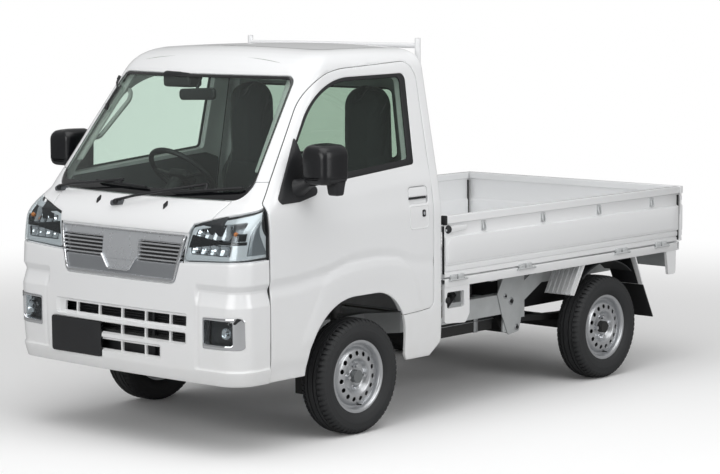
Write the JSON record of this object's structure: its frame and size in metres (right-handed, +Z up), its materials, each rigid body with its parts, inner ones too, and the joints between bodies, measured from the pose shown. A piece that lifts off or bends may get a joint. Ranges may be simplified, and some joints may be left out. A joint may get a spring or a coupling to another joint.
{
  "type": "kei truck",
  "caption": "Small cab-over pickup truck with hinged doors, a drop-side load bed, steered front wheels and a rear guard frame.",
  "frame": {"origin": "on the ground, midway between the ends and the sides of the truck", "axes": "+X to the truck's left, +Y to its rear, +Z up"},
  "size_m": [1.83, 3.395, 1.78],
  "materials": {
    "cab_paint": "gloss",
    "frame_paint": "satin",
    "bed_paint": "satin",
    "glass": "gloss",
    "lamp": "gloss",
    "rear_lamp": "gloss",
    "trim_black": "satin",
    "grille_chrome": "gloss",
    "dash": "matte",
    "floor_mat": "matte",
    "seat_fabric": "matte",
    "tyre": "matte",
    "wheel": "satin",
    "steel": "satin",
    "casting": "matte",
    "tank": "matte",
    "rubber": "matte",
    "plate": "satin",
    "aluminium": "satin"
  },
  "bodies": {
    "chassis": {"roof_panel": "cab_paint", "back_panel": "cab_paint", "cab_pillars": "cab_paint", "cab_glass": "glass", "door_hinges": "cab_paint", "front_bumper": "cab_paint", "grille": "grille_chrome", "headlamps": "lamp", "fog_lamps": "lamp", "hood_panel": "cab_paint", "front_fenders": "cab_paint", "front_frame": "frame_paint", "radiator": "aluminium", "cab_floor": "floor_mat", "dashboard": "dash", "steering_column": "trim_black", "seat_cushions": "seat_fabric", "seat_backrests": "seat_fabric", "frame_rails": "frame_paint", "frame_crossmembers": "frame_paint", "bed_bearers": "bed_paint", "bed_floor": "bed_paint", "bed_front_panel": "bed_paint", "gate_hinges": "bed_paint", "guard_frame": "bed_paint", "bed_brackets": "bed_paint", "mud_flaps": "rubber", "rear_lamps": "rear_lamp", "number_plates": "plate", "engine": "casting", "fuel_tank": "tank", "muffler": "steel", "rear_axle": "casting", "leaf_springs": "steel", "front_suspension": "casting", "wipers": "trim_black"},
    "door_left": {"door_left": "cab_paint", "door_glass_left": "glass", "mirror_left": "trim_black"},
    "door_right": {"door_right": "cab_paint", "door_glass_right": "glass", "mirror_right": "trim_black"},
    "gate_left": {"gate_left": "bed_paint"},
    "gate_right": {"gate_right": "bed_paint"},
    "tailgate": {"tailgate": "bed_paint"},
    "knuckle_left": {"knuckle_left": "casting"},
    "knuckle_right": {"knuckle_right": "casting"},
    "steering_wheel": {"steering_wheel": "trim_black"},
    "wheel_front_left": {"tyre_front_left": "tyre", "rim_front_left": "wheel"},
    "wheel_front_right": {"tyre_front_right": "tyre", "rim_front_right": "wheel"},
    "wheel_rear_left": {"tyre_rear_left": "tyre", "rim_rear_left": "wheel"},
    "wheel_rear_right": {"tyre_rear_right": "tyre", "rim_rear_right": "wheel"}
  },
  "joints": [
    {"name": "left_steer", "type": "hinge", "parent": "chassis", "child": "knuckle_left", "pos_m": [0.56, -0.873, 0.265], "axis": [0, 0, 1], "range_deg": [-36, 36]},
    {"name": "right_steer", "type": "hinge", "parent": "chassis", "child": "knuckle_right", "pos_m": [-0.56, -0.873, 0.265], "axis": [0, 0, 1], "range_deg": [-36, 36]},
    {"name": "steering_turn", "type": "hinge", "parent": "chassis", "child": "steering_wheel", "pos_m": [-0.35, -0.948, 1.136], "axis": [0, 0.7071, 0.7071], "range_deg": [-594, 594]},
    {"name": "front_left_spin", "type": "hinge", "parent": "knuckle_left", "child": "wheel_front_left", "pos_m": [0.655, -0.873, 0.265], "axis": [1, 0, 0], "continuous": true},
    {"name": "front_right_spin", "type": "hinge", "parent": "knuckle_right", "child": "wheel_front_right", "pos_m": [-0.655, -0.873, 0.265], "axis": [1, 0, 0], "continuous": true},
    {"name": "rear_left_spin", "type": "hinge", "parent": "chassis", "child": "wheel_rear_left", "pos_m": [0.653, 1.027, 0.265], "axis": [1, 0, 0], "continuous": true},
    {"name": "rear_right_spin", "type": "hinge", "parent": "chassis", "child": "wheel_rear_right", "pos_m": [-0.653, 1.027, 0.265], "axis": [1, 0, 0], "continuous": true},
    {"name": "left_door_swing", "type": "hinge", "parent": "chassis", "child": "door_left", "pos_m": [0.724, -1.42, 0.7], "axis": [0, 0, -1], "range_deg": [0, 65]},
    {"name": "right_door_swing", "type": "hinge", "parent": "chassis", "child": "door_right", "pos_m": [-0.724, -1.42, 0.7], "axis": [0, 0, 1], "range_deg": [0, 65]},
    {"name": "left_gate_drop", "type": "hinge", "parent": "chassis", "child": "gate_left", "pos_m": [0.742, 0.7, 0.643], "axis": [0, 1, 0], "range_deg": [0, 170]},
    {"name": "right_gate_drop", "type": "hinge", "parent": "chassis", "child": "gate_right", "pos_m": [-0.742, 0.7, 0.643], "axis": [0, -1, 0], "range_deg": [0, 170]},
    {"name": "tailgate_drop", "type": "hinge", "parent": "chassis", "child": "tailgate", "pos_m": [0, 1.691, 0.643], "axis": [-1, 0, 0], "range_deg": [0, 170]}
  ],
  "couplings": [
    {"joint": "right_steer", "follows": "left_steer", "ratio": 1},
    {"joint": "steering_turn", "follows": "left_steer", "ratio": 16.5}
  ]
}
